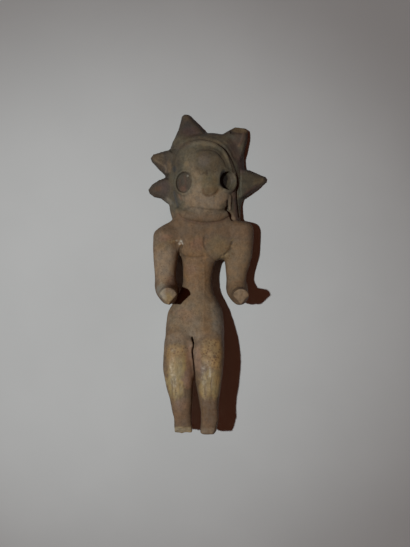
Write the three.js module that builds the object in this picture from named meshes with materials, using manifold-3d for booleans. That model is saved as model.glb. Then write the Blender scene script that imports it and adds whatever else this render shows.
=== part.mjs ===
// A small solid figurine, modelled by hand in clay and fired, lying on its back.
// Millimetres. +Y runs from the broken feet to the headdress, +Z comes up out of the face,
// and +X is to the viewer's right. The origin is under the middle of the figure, on the table.

import * as THREE from 'three';
import { mergeVertices } from 'three/addons/utils/BufferGeometryUtils.js';
import Module from 'manifold-3d';

const wasm = await Module();
wasm.setup();

// Driving dimensions: the clay bodies, each a row of sections across the figure.
// A section is [y, left side, right side, height of the back, of the widest line, of the front].
const TORSO = [
  [23.0, -12.6, 10.8, 1.8, 4.8, 9.2],
  [20.4, -14.2, 11.8, 1.6, 4.8, 9.6],
  [18.6, -16.6, 15.6, 1.4, 5.0, 9.8],
  [17.4, -18.2, 16.8, 1.4, 5.2, 10.0],
  [14.0, -20.2, 17.2, 1.2, 5.6, 10.5],
  [10.0, -17.6, 14.4, 1.2, 5.6, 10.5],
  [6.6, -10.9, 8.0, 1.4, 6.0, 10.2],
  [2.8, -9.9, 2.6, 1.4, 6.5, 10.4],
  [-3.5, -9.8, 1.6, 1.4, 6.6, 11.0],
  [-8.2, -10.6, 2.2, 1.0, 6.6, 11.6],
  [-13.0, -14.0, 4.4, 0.2, 6.6, 13.0],
  [-17.0, -15.6, 5.8, -0.7, 6.6, 14.4],
  [-20.0, -15.6, 5.8, -0.9, 7.6, 15.4],
  [-24.0, -14.8, 5.0, 1.0, 8.8, 15.6],
  [-28.0, -12.5, 2.5, 4.0, 9.0, 13.5],
];
const LEFT_LEG = [
  [-16.0, -14.0, -6.6, 1.6, 7.0, 11.0],
  [-20.0, -15.2, -6.0, 0.0, 8.0, 14.0],
  [-24.0, -16.2, -5.8, 1.0, 9.2, 17.0],
  [-30.0, -17.0, -5.8, 4.4, 11.6, 19.0],
  [-36.0, -17.1, -5.6, 8.6, 14.2, 19.9],
  [-44.0, -15.9, -5.9, 10.4, 15.2, 20.0],
  [-50.0, -14.4, -5.9, 11.2, 15.4, 19.6],
  [-54.2, -13.5, -6.2, 12.0, 15.7, 19.2],
  [-57.2, -12.9, -6.2, 12.8, 16.0, 18.8],
  [-60.0, -12.8, -5.9, 13.1, 16.0, 18.8],
  [-62.5, -12.7, -5.9, 13.4, 16.0, 18.5],
];
const RIGHT_LEG = [
  [-16.0, -4.6, 3.8, 1.6, 7.0, 11.0],
  [-20.0, -5.2, 5.2, 0.0, 8.0, 14.0],
  [-24.0, -5.4, 6.2, 1.0, 9.2, 17.0],
  [-30.0, -5.4, 6.4, 4.4, 11.6, 19.0],
  [-36.0, -5.1, 6.0, 8.6, 14.2, 19.9],
  [-44.0, -4.2, 5.0, 10.4, 15.2, 20.0],
  [-50.0, -3.3, 4.3, 11.2, 15.4, 19.6],
  [-54.2, -2.6, 4.1, 12.0, 15.7, 19.2],
  [-58.0, -2.7, 4.1, 12.8, 16.0, 18.8],
  [-62.7, -3.0, 3.7, 13.4, 16.0, 18.5],
];
const LEFT_ARM = [
  [18.0, -19.4, -12.0, 1.8, 5.6, 9.8],
  [14.0, -21.2, -10.8, 1.4, 6.1, 10.8],
  [7.2, -21.4, -11.4, 2.0, 7.0, 11.7],
  [-0.3, -20.8, -12.4, 3.2, 7.6, 11.9],
  [-5.0, -20.4, -12.6, 3.8, 8.0, 12.4],
  [-9.0, -19.0, -12.6, 4.2, 8.4, 13.4],
  [-12.4, -16.6, -13.4, 6.4, 10.0, 14.6],
];
const RIGHT_ARM = [
  [19.5, 9.8, 17.0, 1.8, 5.2, 9.4],
  [15.6, 7.6, 18.2, 1.4, 5.8, 10.2],
  [7.2, 6.8, 17.5, 2.0, 6.3, 10.7],
  [-0.3, 7.1, 15.6, 2.4, 6.4, 10.4],
  [-5.0, 7.6, 14.8, 2.6, 6.6, 10.8],
  [-9.0, 8.7, 14.9, 3.0, 7.0, 11.8],
  [-12.4, 11.2, 14.0, 5.0, 8.6, 13.2],
];
const HOOD = [
  [55.2, -4.6, 7.0, -0.4, 0.6, 4.6],
  [52.3, -11.6, 11.2, -0.4, 0.6, 7.8],
  [48.3, -14.4, 13.6, -0.4, 0.6, 10.4],
  [42.3, -15.5, 14.7, -0.4, 0.6, 12.2],
  [36.3, -16.1, 14.9, -0.4, 0.6, 12.7],
  [30.3, -15.9, 14.4, -0.2, 0.8, 12.2],
  [25.5, -15.2, 13.2, 0.0, 1.4, 11.2],
  [20.5, -14.1, 12.9, 0.6, 3.0, 10.0],
  [15.0, -11.0, 10.0, 2.6, 4.8, 8.6],
];

// The headdress: the outline of each spike with its root sunk in the hood, its height at the root
// and at the tip, and the width of its bevelled edge.
const SPIKES = [
  {
    outline: [
      [-10.3, 61.8], [-9.3, 62.6], [-8.0, 62.6], [-6.9, 62.0], [-0.3, 54.9], [-2.0, 50.0], [-10.0, 46.0],
      [-14.8, 47.8], [-14.1, 51.1], [-11.7, 55.9],
    ],
    root: [-7.5, 50.5], tip: [-8.6, 61.4], heights: [5.6, 2.6], bevel: 1.5,
  },
  {
    outline: [
      [5.0, 54.2], [10.9, 57.2], [14.3, 57.0], [16.1, 55.8], [15.9, 52.2], [14.6, 47.6], [13.2, 43.0],
      [9.0, 42.0], [3.0, 50.0],
    ],
    root: [9.0, 47.0], tip: [13.6, 55.6], heights: [6.0, 3.8], bevel: 1.1,
  },
  {
    outline: [
      [-22.8, 45.1], [-21.7, 46.6], [-18.3, 47.5], [-15.0, 48.3], [-11.5, 46.0], [-11.5, 39.5],
      [-16.2, 37.6], [-19.5, 40.6], [-22.2, 43.6],
    ],
    root: [-14.5, 43.0], tip: [-21.8, 45.1], heights: [4.2, 2.4], bevel: 1.2,
  },
  {
    outline: [
      [-23.7, 32.5], [-22.1, 34.6], [-19.5, 36.4], [-16.4, 37.4], [-12.0, 36.0], [-11.0, 27.5],
      [-13.4, 25.6], [-16.1, 27.2], [-18.7, 29.0], [-21.3, 29.6], [-23.2, 31.0],
    ],
    root: [-14.0, 32.0], tip: [-22.6, 32.3], heights: [4.6, 2.4], bevel: 1.4,
  },
  {
    outline: [
      [12.2, 41.2], [15.7, 40.4], [19.5, 38.9], [22.8, 37.8], [23.6, 36.6], [23.2, 35.4], [19.5, 32.4],
      [15.7, 29.9], [13.2, 28.2], [11.9, 28.8],
    ],
    root: [13.0, 34.8], tip: [22.4, 36.5], heights: [6.4, 2.4], bevel: 1.3,
  },
];
const SPIKE_EDGE = 1.0; // height of a spike's outer edge above the table

// The face: a broad swelling with the forehead and a blunt nose on it.
const FACE = { middle: [-0.1, 35.2, 7.3], half: [9.9, 14.3, 6.3] };
const FOREHEAD = { middle: [0.0, 41.4, 9.6], half: [7.6, 7.2, 4.2] };
const NOSE = { middle: [0.7, 33.4, 10.6], half: [4.2, 4.8, 3.6] };

// A strip of clay around the forehead, and a roll of clay under the chin.
const BAND = {
  points: [
    [-11.4, 38.6, 7.2], [-11.5, 42.6, 6.5], [-10.2, 46.2, 6.6], [-7.4, 48.9, 7.2], [-3.6, 50.1, 7.8],
    [0.2, 49.5, 8.7], [3.6, 48.2, 9.0], [6.2, 45.9, 9.2], [7.9, 42.8, 9.2], [9.1, 39.6, 8.5],
    [10.2, 37.4, 7.4],
  ],
  radii: [1.5, 1.5], spans: 20,
};
const COLLAR = {
  points: [
    [-11.2, 23.6, 5.8], [-8.6, 22.3, 7.2], [-4.6, 21.5, 8.4], [-0.6, 21.2, 8.9], [3.6, 21.5, 8.4],
    [7.0, 22.4, 7.2],
  ],
  radii: [1.2, 2.4, 2.4, 2.4, 2.4, 1.9], spans: 12,
};

// A round sunken disc on each side of the nose. turn is how far it faces away from straight up, and
// rim how far its raised rim reaches to both sides of +X, in degrees.
const DISCS = [
  { middle: [-9.2, 34.6, 10.5], radius: 3.95, depth: 0.8, turn: -36, rim: 180 },
  { middle: [7.9, 35.2, 11.4], radius: 3.7, depth: 2.2, turn: 42, rim: 110 },
];
const RIM_RADIUS = 0.65;
const RIM_REACH = 1.12; // share of the disc's radius at which the rim runs
const RIM_SINK = 0.35;

// The breasts: flat pads.
const BREASTS = [
  { middle: [-5.8, 10.0, 8.1], half: [5.0, 5.0, 2.8] },
  { middle: [4.2, 9.9, 8.0], half: [5.8, 5.0, 2.8] },
];

// The forearms turn up into short stumps. Each break cuts off what lies past a plane.
const STUMPS = [
  {
    points: [[-16.0, -6.6, 8.6], [-15.3, -8.6, 15.0], [-14.9, -9.2, 24.6]], radii: [4.0, 3.5, 2.9], spans: 4,
    breaks: [
      { point: [-14.9, -10.5, 21.8], facing: [-0.05, -0.46, 0.89] },
      { point: [-16.7, -11.0, 18.0], facing: [-0.70, -0.66, 0.26] },
      { point: [-13.1, -11.2, 18.0], facing: [0.78, -0.58, 0.22] },
    ],
  },
  {
    points: [[11.5, -6.8, 7.6], [12.3, -9.0, 13.0], [12.7, -9.6, 22.4]], radii: [3.6, 3.2, 2.7], spans: 4,
    breaks: [
      { point: [12.5, -10.5, 18.8], facing: [-0.05, -0.50, 0.87] },
      { point: [11.0, -11.4, 15.0], facing: [-0.72, -0.64, 0.26] },
      { point: [14.2, -11.8, 15.0], facing: [0.76, -0.60, 0.22] },
    ],
  },
];

// The feet are broken off, and so is the tip of one spike.
const LEFT_FOOT_BREAKS = [
  { point: [-9.3, -59.2, 19.0], facing: [0, -0.72, 0.69] },
  { point: [-9.3, -62.3, 16.0], facing: [0, -1, -0.05] },
];
const RIGHT_FOOT_BREAKS = [
  { point: [0.6, -62.6, 16.0], facing: [0, -1, -0.05] },
  { point: [3.2, -60.4, 17.0], facing: [0.93, -0.30, 0.22] },
];
const SPIKE_BREAK = { point: [12.6, 56.2, 2.9], facing: [0.05, 0.60, 0.80] };

// The clay that joins the thighs, the slit cut into it, and the cracks beside the face and the arms.
const WEB = {
  points: [[-5.6, -23.0, 13.0], [-5.6, -28.5, 15.2], [-5.4, -33.0, 15.8], [-5.2, -36.2, 15.4]],
  radii: [2.4, 2.5, 2.2, 1.4], spans: 4,
};
const SLIT = { from: [-6.0, -25.3], to: [-5.1, -38.5], width: 0.6, floor: 8, top: 24 };
const CRACKS = [
  { points: [[11.5, 38.2, 8.0], [11.7, 33.0, 6.9], [11.6, 29.8, 6.5], [12.3, 21.6, 4.6]], radii: [0.5, 0.7] },
  { points: [[7.3, 24.6, 8.8], [8.4, 23.1, 8.2], [9.8, 20.4, 7.4]], radii: [0.8, 1.0] },
  { points: [[10.2, 12.3, 10.6], [9.1, 9.6, 10.8], [6.6, 6.2, 10.7]], radii: [0.5, 0.6] },
];

const TABLE = 200; // side of the block that trims the back flat

// How finely the clay is faceted.
const BODY_SIDES = 22;
const LIMB_SIDES = 16;
const TUBE_SIDES = 8;
const SECTION_GAP = 3.4;
const DOME_STEPS = 3;

// A smooth value between the rows of a table, without overshooting them.
function between(rows, column, y) {
  const last = rows.length - 1;
  const slope = (i) => (rows[i + 1][column] - rows[i][column]) / (rows[i + 1][0] - rows[i][0]);
  const tangent = (i) => {
    if (i === 0) return slope(0);
    if (i === last) return slope(last - 1);
    const before = slope(i - 1);
    const after = slope(i);
    return before * after <= 0 ? 0 : (2 * before * after) / (before + after);
  };
  let i = 0;
  while (i < last - 1 && y < rows[i + 1][0]) i += 1;
  const span = rows[i + 1][0] - rows[i][0];
  const t = THREE.MathUtils.clamp((y - rows[i][0]) / span, 0, 1);
  const from = rows[i][column];
  const to = rows[i + 1][column];
  const a = tangent(i) * span;
  const b = tangent(i + 1) * span;
  return (
    from * (2 * t ** 3 - 3 * t ** 2 + 1) +
    a * (t ** 3 - 2 * t ** 2 + t) +
    to * (3 * t ** 2 - 2 * t ** 3) +
    b * (t ** 3 - t ** 2)
  );
}

// One ring of points across the figure. fit shrinks it towards its middle, for a rounded end.
function ring(rows, y, fit, sides, squareness) {
  const [left, right, back, side, front] = [1, 2, 3, 4, 5].map((column) => between(rows, column, y));
  const middle = (left + right) / 2;
  const points = [];
  for (let i = 0; i < sides; i += 1) {
    const turn = (2 * Math.PI * i) / sides;
    const across = Math.sign(Math.cos(turn)) * Math.abs(Math.cos(turn)) ** (2 / squareness);
    const upward = Math.sign(Math.sin(turn)) * Math.abs(Math.sin(turn)) ** (2 / squareness);
    const depth = upward > 0 ? front - side : side - back;
    points.push([middle + (fit * across * (right - left)) / 2, y, side + fit * upward * depth]);
  }
  return points;
}

// Where a body's rings lie: at every section, and evenly between sections that are far apart.
function stations(rows) {
  const places = [rows[0][0]];
  for (let i = 1; i < rows.length; i += 1) {
    const [from, to] = [rows[i - 1][0], rows[i][0]];
    const count = Math.ceil((from - to) / SECTION_GAP);
    for (let k = 1; k <= count; k += 1) places.push(from + ((to - from) * k) / count);
  }
  return places;
}

// A closed body through a table of sections, which run towards the feet. Each end closes in a
// dome of the given length.
function loft(rows, { sides, domes, squareness = 2.2 }) {
  const start = rows[0][0];
  const end = rows[rows.length - 1][0];
  const first = [];
  const last = [];
  for (let i = 1; i <= DOME_STEPS; i += 1) {
    const swing = ((i - 0.4) / (DOME_STEPS + 0.6)) * (Math.PI / 2);
    const sink = 1 - Math.cos(swing);
    first.push(ring(rows, start - domes[0] * sink, Math.sin(swing), sides, squareness));
    last.unshift(ring(rows, end + domes[1] * sink, Math.sin(swing), sides, squareness));
  }
  const inner = stations(rows).filter((y) => y < start - 0.9 * domes[0] && y > end + 0.9 * domes[1]);
  const middle = inner.map((y) => ring(rows, y, 1, sides, squareness));
  return closedBody([...first, ...middle, ...last], middleOf(first[0], start), middleOf(last.at(-1), end));
}

// The middle of a ring, moved to a place along the figure.
function middleOf(points, y) {
  const sum = points.reduce((total, p) => [total[0] + p[0], total[1] + p[2]], [0, 0]);
  return [sum[0] / points.length, y, sum[1] / points.length];
}

// Skins a row of rings and closes both ends with a fan to a middle point.
function closedBody(rings, firstMiddle, lastMiddle) {
  const sides = rings[0].length;
  const points = rings.flat();
  const first = points.push(firstMiddle) - 1;
  const last = points.push(lastMiddle) - 1;
  const faces = [];
  for (let j = 0; j < sides; j += 1) {
    const k = (j + 1) % sides;
    for (let i = 0; i < rings.length - 1; i += 1) {
      const a = i * sides;
      const b = a + sides;
      faces.push(a + j, b + k, b + j, a + j, a + k, b + k);
    }
    const foot = (rings.length - 1) * sides;
    faces.push(first, k, j, last, foot + j, foot + k);
  }
  const geometry = new THREE.BufferGeometry();
  geometry.setAttribute('position', new THREE.Float32BufferAttribute(points.flat(), 3));
  geometry.setIndex(faces);
  return geometry;
}

// A tube of clay along a smooth path through the points, with radii spread evenly along it.
function tube({ points, radii, spans = 6 }) {
  const path = new THREE.CatmullRomCurve3(points.map((p) => new THREE.Vector3(...p)));
  const overall = path.getPoint(1).sub(path.getPoint(0)).normalize();
  const reference = Math.abs(overall.z) > 0.7 ? new THREE.Vector3(0, 1, 0) : new THREE.Vector3(0, 0, 1);
  const rings = [];
  for (let i = 0; i <= spans; i += 1) {
    const middle = path.getPoint(i / spans);
    const along = path.getTangent(i / spans);
    const across = reference.clone().cross(along).normalize();
    const upward = along.clone().cross(across);
    const at = (i / spans) * (radii.length - 1);
    const before = Math.min(Math.floor(at), radii.length - 2);
    const radius = THREE.MathUtils.lerp(radii[before], radii[before + 1], at - before);
    rings.push(Array.from({ length: TUBE_SIDES }, (_, j) => {
      const turn = (2 * Math.PI * j) / TUBE_SIDES;
      return middle.clone()
        .addScaledVector(across, radius * Math.cos(turn))
        .addScaledVector(upward, radius * Math.sin(turn))
        .toArray();
    }));
  }
  const first = path.getPoint(0).addScaledVector(path.getTangent(0), -0.6 * radii[0]);
  const last = path.getPoint(1).addScaledVector(path.getTangent(1), 0.6 * radii.at(-1));
  return closedBody(rings, first.toArray(), last.toArray());
}

// A spike is a flat plate of clay that stands on the table and thins towards its tip and edges.
function spike({ outline, root, tip, heights, bevel }) {
  const start = new THREE.Vector2(...root);
  const along = new THREE.Vector2(...tip).sub(start);
  const crown = (share) => THREE.MathUtils.lerp(heights[0], heights[1], share);
  const corners = outline.map(([x, y]) => new THREE.Vector2(x, y)).reverse();
  const top = corners.map((corner) => {
    const share = THREE.MathUtils.clamp(corner.clone().sub(start).dot(along) / along.lengthSq(), 0, 1);
    const spine = start.clone().addScaledVector(along, share);
    const away = corner.distanceTo(spine);
    const inset = corner.clone().lerp(spine, Math.min(bevel / away, 0.8));
    return [inset.x, inset.y, crown(share)];
  });
  const edge = (height) => corners.map(({ x, y }) => [x, y, height]);
  const middle = start.clone().addScaledVector(along, 0.4);
  const rings = [edge(-0.5), edge(SPIKE_EDGE), top];
  return closedBody(rings, [middle.x, middle.y, -0.5], [middle.x, middle.y, crown(0.4)]);
}

// A swelling of the clay: an ellipsoid.
function swelling({ middle, half }) {
  return new THREE.SphereGeometry(1, 16, 10).scale(...half).translate(...middle);
}

// The hole of a sunken disc, facing up and outward from the face.
function discHole({ middle, radius, depth, turn }) {
  const height = 2 + depth;
  return new THREE.CylinderGeometry(radius, radius, height, 24)
    .rotateX(Math.PI / 2)
    .translate(0, 0, height / 2 - depth)
    .rotateY(THREE.MathUtils.degToRad(turn))
    .translate(...middle);
}

// The raised rim around a disc, as far as it reaches.
function discRim({ middle, radius, turn, rim }) {
  const place = new THREE.Matrix4().makeRotationY(THREE.MathUtils.degToRad(turn)).setPosition(...middle);
  const points = [];
  for (let angle = -rim; angle <= rim; angle += rim / 8) {
    const around = THREE.MathUtils.degToRad(angle * 0.999);
    const reach = radius * RIM_REACH;
    const point = new THREE.Vector3(reach * Math.cos(around), reach * Math.sin(around), -RIM_SINK);
    points.push(point.applyMatrix4(place).toArray());
  }
  return tube({ points, radii: [RIM_RADIUS, RIM_RADIUS], spans: 22 });
}

// The block that cuts the slit between the thighs.
function slit({ from, to, width, floor, top }) {
  const along = new THREE.Vector2(...to).sub(new THREE.Vector2(...from));
  return new THREE.BoxGeometry(width, along.length(), top - floor)
    .rotateZ(Math.atan2(-along.x, along.y))
    .translate((from[0] + to[0]) / 2, (from[1] + to[1]) / 2, (floor + top) / 2);
}

// Turns a closed geometry into a solid that can be joined and cut.
function solid(geometry) {
  const bare = geometry.clone();
  bare.deleteAttribute('normal');
  bare.deleteAttribute('uv');
  const merged = mergeVertices(bare, 1e-5);
  return new wasm.Manifold(new wasm.Mesh({
    numProp: 3,
    vertProperties: new Float32Array(merged.attributes.position.array),
    triVerts: new Uint32Array(merged.index.array),
  }));
}

// A solid with everything cut off that lies past each of the breaks.
function broken(geometry, breaks = []) {
  return breaks.reduce((body, { point, facing }) => {
    const inward = new THREE.Vector3(...facing).normalize().negate();
    return body.trimByPlane(inward.toArray(), inward.dot(new THREE.Vector3(...point)));
  }, solid(geometry));
}

const limb = { sides: LIMB_SIDES };
const pieces = [
  solid(loft(TORSO, { sides: BODY_SIDES, domes: [2, 4.5] })),
  broken(loft(LEFT_LEG, { ...limb, domes: [3, 1.6], squareness: 2.5 }), LEFT_FOOT_BREAKS),
  broken(loft(RIGHT_LEG, { ...limb, domes: [3, 1.6], squareness: 2.5 }), RIGHT_FOOT_BREAKS),
  solid(loft(LEFT_ARM, { ...limb, domes: [3, 2.6] })),
  solid(loft(RIGHT_ARM, { ...limb, domes: [2.2, 2.6], squareness: 2.5 })),
  solid(loft(HOOD, { sides: BODY_SIDES, domes: [1.8, 2], squareness: 1.75 })),
  ...SPIKES.map((spec, i) => broken(spike(spec), i === 1 ? [SPIKE_BREAK] : [])),
  ...[FACE, FOREHEAD, NOSE, ...BREASTS].map((spec) => solid(swelling(spec))),
  ...[WEB, BAND, COLLAR].map((spec) => solid(tube(spec))),
  ...DISCS.map((disc) => solid(discRim(disc))),
  ...STUMPS.map((stump) => broken(tube(stump), stump.breaks)),
];
const cuts = [
  ...DISCS.map(discHole),
  ...CRACKS.map(tube),
  slit(SLIT),
  new THREE.BoxGeometry(TABLE, TABLE, TABLE).translate(0, 0, -TABLE / 2),
];

let clay = pieces[0];
for (const piece of pieces.slice(1)) clay = clay.add(piece);
for (const cut of cuts) clay = clay.subtract(solid(cut));

const shape = clay.getMesh();
const geometry = new THREE.BufferGeometry();
geometry.setAttribute('position', new THREE.BufferAttribute(new Float32Array(shape.vertProperties), 3));
geometry.setIndex(new THREE.BufferAttribute(new Uint32Array(shape.triVerts), 1));
geometry.computeBoundingBox();
const { min, max } = geometry.boundingBox;
geometry.translate(-(min.x + max.x) / 2, -(min.y + max.y) / 2, -min.z);
geometry.computeVertexNormals();

const figurine = new THREE.Mesh(
  geometry,
  new THREE.MeshStandardMaterial({ color: 0x8a7155, roughness: 0.6, metalness: 0 }),
);
figurine.name = 'figurine';

const object = new THREE.Group();
object.add(figurine);

export default object;
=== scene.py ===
"""A small solid figurine, modelled by hand in clay and fired, lying on its back on a pale table.

The clay is described as one field of signed distances in millimetres: lofted bodies, horns,
rolls and swellings are blended into each other as wet clay is, then cut, chipped and meshed.
Shallow strokes are pressed into the mesh, and its colours are painted in named patches.
+Y runs from the broken feet to the headdress, +Z comes up out of the face.
"""
import math

import bpy
import mathutils
import numpy as np
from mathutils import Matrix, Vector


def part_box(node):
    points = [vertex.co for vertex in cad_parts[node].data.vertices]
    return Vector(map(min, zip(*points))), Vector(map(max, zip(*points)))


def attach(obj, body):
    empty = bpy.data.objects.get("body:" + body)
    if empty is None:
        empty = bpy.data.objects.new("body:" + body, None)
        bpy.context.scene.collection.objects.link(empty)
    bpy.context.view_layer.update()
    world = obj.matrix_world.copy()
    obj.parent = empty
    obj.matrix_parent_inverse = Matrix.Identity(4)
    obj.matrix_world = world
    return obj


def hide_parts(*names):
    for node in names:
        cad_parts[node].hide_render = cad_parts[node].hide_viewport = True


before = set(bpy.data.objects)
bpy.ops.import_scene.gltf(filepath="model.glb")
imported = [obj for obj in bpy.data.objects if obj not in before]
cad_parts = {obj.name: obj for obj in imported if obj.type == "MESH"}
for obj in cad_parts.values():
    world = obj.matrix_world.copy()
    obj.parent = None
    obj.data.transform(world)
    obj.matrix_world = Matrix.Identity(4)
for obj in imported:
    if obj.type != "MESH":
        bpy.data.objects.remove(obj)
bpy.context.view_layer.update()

NODE = "figurine"
MM = 0.001
low, high = (np.array(corner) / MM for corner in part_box(NODE))

# The mesh: how far apart its points lie, in millimetres.
STEP = 0.378
MARGIN = 1.5

# Sections of the clay bodies, in millimetres:
# [y, left side, right side, height of the back, of the widest line, of the front].
TORSO = [
    [23.0, -12.6, 10.8, 1.8, 4.8, 9.2],
    [20.4, -14.2, 11.8, 1.6, 4.8, 9.6],
    [18.6, -16.6, 15.6, 1.4, 5.0, 9.8],
    [17.4, -18.2, 16.8, 1.4, 5.2, 10.0],
    [14.0, -20.2, 17.2, 1.2, 5.6, 10.5],
    [10.0, -17.6, 14.4, 1.2, 5.6, 10.5],
    [6.6, -10.9, 8.0, 1.4, 6.0, 10.2],
    [2.8, -9.9, 2.6, 1.4, 6.5, 10.4],
    [-3.5, -9.8, 1.6, 1.4, 6.6, 11.0],
    [-8.2, -10.6, 2.2, 1.0, 6.6, 11.6],
    [-13.0, -14.0, 4.4, 0.2, 6.6, 13.0],
    [-17.0, -15.6, 5.8, -0.7, 6.6, 14.4],
    [-20.0, -15.6, 5.8, -0.9, 7.6, 15.4],
    [-24.0, -14.8, 5.0, 1.0, 8.8, 15.6],
    [-28.0, -12.5, 2.5, 4.0, 9.0, 13.5],
]
LEFT_LEG = [
    [-16.0, -14.0, -6.6, 1.6, 7.0, 11.0],
    [-20.0, -15.2, -6.0, 0.0, 8.0, 14.0],
    [-24.0, -16.2, -5.8, 1.0, 9.2, 17.0],
    [-30.0, -17.0, -5.8, 4.4, 11.6, 19.0],
    [-36.0, -17.1, -5.6, 8.6, 14.2, 19.9],
    [-44.0, -15.9, -5.9, 10.4, 15.2, 20.0],
    [-50.0, -14.4, -5.9, 11.2, 15.4, 19.6],
    [-54.2, -13.5, -6.2, 12.0, 15.7, 19.2],
    [-57.2, -12.9, -6.2, 12.8, 16.0, 18.8],
    [-60.0, -12.8, -5.9, 13.1, 16.0, 18.8],
    [-62.5, -12.7, -5.9, 13.4, 16.0, 18.5],
]
RIGHT_LEG = [
    [-16.0, -4.6, 3.8, 1.6, 7.0, 11.0],
    [-20.0, -5.2, 5.2, 0.0, 8.0, 14.0],
    [-24.0, -5.4, 6.2, 1.0, 9.2, 17.0],
    [-30.0, -5.4, 6.4, 4.4, 11.6, 19.0],
    [-36.0, -5.1, 6.0, 8.6, 14.2, 19.9],
    [-44.0, -4.2, 5.0, 10.4, 15.2, 20.0],
    [-50.0, -3.3, 4.3, 11.2, 15.4, 19.6],
    [-54.2, -2.6, 4.1, 12.0, 15.7, 19.2],
    [-58.0, -2.7, 4.1, 12.8, 16.0, 18.8],
    [-62.7, -3.0, 3.7, 13.4, 16.0, 18.5],
]
LEFT_ARM = [
    [18.0, -19.4, -12.0, 1.8, 5.6, 9.8],
    [14.0, -21.2, -10.8, 1.4, 6.1, 10.8],
    [7.2, -21.4, -11.4, 2.0, 7.0, 11.7],
    [-0.3, -20.8, -12.4, 3.2, 7.6, 11.9],
    [-5.0, -20.4, -12.6, 3.8, 8.0, 12.4],
    [-9.0, -19.0, -12.6, 4.2, 8.4, 13.4],
    [-12.4, -16.6, -13.4, 6.4, 10.0, 14.6],
]
RIGHT_ARM = [
    [19.5, 9.8, 17.0, 1.8, 5.2, 9.4],
    [15.6, 7.6, 18.2, 1.4, 5.8, 10.2],
    [7.2, 6.8, 17.5, 2.0, 6.3, 10.7],
    [-0.3, 7.1, 15.6, 2.4, 6.4, 10.4],
    [-5.0, 7.6, 14.8, 2.6, 6.6, 10.8],
    [-9.0, 8.7, 14.9, 3.0, 7.0, 11.8],
    [-12.4, 11.2, 14.0, 5.0, 8.6, 13.2],
]
HOOD = [
    [55.2, -4.6, 7.0, -0.4, 0.6, 4.6],
    [52.3, -11.6, 11.2, -0.4, 0.6, 7.8],
    [48.3, -14.4, 13.6, -0.4, 0.6, 10.4],
    [42.3, -15.5, 14.7, -0.4, 0.6, 12.2],
    [36.3, -16.1, 14.9, -0.4, 0.6, 12.7],
    [30.3, -15.9, 14.4, -0.2, 0.8, 12.2],
    [25.5, -15.2, 13.2, 0.0, 1.4, 11.2],
    [20.5, -14.1, 12.9, 0.6, 3.0, 10.0],
    [15.0, -11.0, 10.0, 2.6, 4.8, 8.6],
]

# The headdress: the outline of each spike with its root sunk in the hood, its height at the root
# and at the tip, and the width of its bevelled edge.
SPIKES = [
    dict(outline=[(-10.3, 61.8), (-9.3, 62.6), (-8.0, 62.6), (-6.9, 62.0), (-0.3, 54.9), (-2.0, 50.0),
                  (-10.0, 46.0), (-14.8, 47.8), (-14.1, 51.1), (-11.7, 55.9)],
         root=(-7.5, 50.5), tip=(-8.6, 62.0), heights=(5.6, 2.6), bevel=1.5),
    dict(outline=[(5.0, 54.2), (10.9, 57.2), (14.3, 57.0), (16.1, 55.8), (15.9, 52.2), (14.6, 47.6),
                  (13.2, 43.0), (9.0, 42.0), (3.0, 50.0)],
         root=(9.0, 47.0), tip=(14.4, 56.6), heights=(6.0, 3.8), bevel=1.1),
    dict(outline=[(-22.8, 45.1), (-21.7, 46.6), (-18.3, 47.5), (-15.0, 48.3), (-11.5, 46.0), (-11.5, 39.5),
                  (-16.2, 37.6), (-19.5, 40.6), (-22.2, 43.6)],
         root=(-15.0, 43.0), tip=(-22.4, 45.2), heights=(4.2, 2.4), bevel=1.2),
    dict(outline=[(-23.7, 32.5), (-22.1, 34.6), (-19.5, 36.4), (-16.4, 37.4), (-12.0, 36.0), (-11.0, 27.5),
                  (-13.4, 25.6), (-16.1, 27.2), (-18.7, 29.0), (-21.3, 29.6), (-23.2, 31.0)],
         root=(-14.0, 32.0), tip=(-23.4, 32.4), heights=(4.6, 2.4), bevel=1.4),
    dict(outline=[(12.2, 41.2), (15.7, 40.4), (19.5, 38.9), (22.8, 37.8), (23.6, 36.6), (23.2, 35.4),
                  (19.5, 32.4), (15.7, 29.9), (13.2, 28.2), (11.9, 28.8)],
         root=(12.4, 34.8), tip=(23.0, 36.6), heights=(6.4, 2.4), bevel=1.3),
]
SPIKE_ROUNDING = 0.5

# The strip of clay laid around the forehead, and the two sunken discs beside the nose.
BAND = [(-11.4, 38.6), (-11.5, 42.6), (-10.2, 46.2), (-7.4, 48.9), (-3.6, 50.1), (0.2, 49.5), (3.6, 48.2),
        (6.2, 45.9), (7.9, 42.8), (9.1, 39.6), (10.2, 37.4)]
BAND_RADIUS = 1.5
BAND_SINK = 1.15
DISCS = [
    dict(middle=(-9.2, 34.6), radius=3.95, depth=0.8, lean=-36, rim=180),
    dict(middle=(8.1, 35.2), radius=3.5, depth=2.2, lean=42, rim=110),
]

# Deep cracks: the slit between the thighs, the crevice beside the band, and the gap in the collar.
SLIT = [(-6.0, -25.3), (-5.4, -28.2), (-5.9, -30.3), (-5.7, -32.5), (-5.4, -34.8), (-5.2, -37.0),
        (-5.0, -39.0), (-4.9, -42.0)]
CREVICE = [(11.4, 38.2), (11.7, 36.0), (11.7, 33.0), (11.6, 29.8), (11.8, 25.9), (12.3, 21.6)]
COLLAR_GAP = [(7.3, 24.6), (8.4, 23.1), (9.3, 21.6), (9.8, 20.4)]
RIGHT_ARMPIT = [(10.2, 12.3), (9.3, 11.0), (9.0, 9.2), (7.9, 7.4), (6.6, 6.2)]
LEFT_ARMPIT = [(-10.2, 9.8), (-10.8, 8.4), (-10.9, 6.6)]

FAR = 50.0


# Tools for smooth tables, curves, blending and noise.

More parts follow.
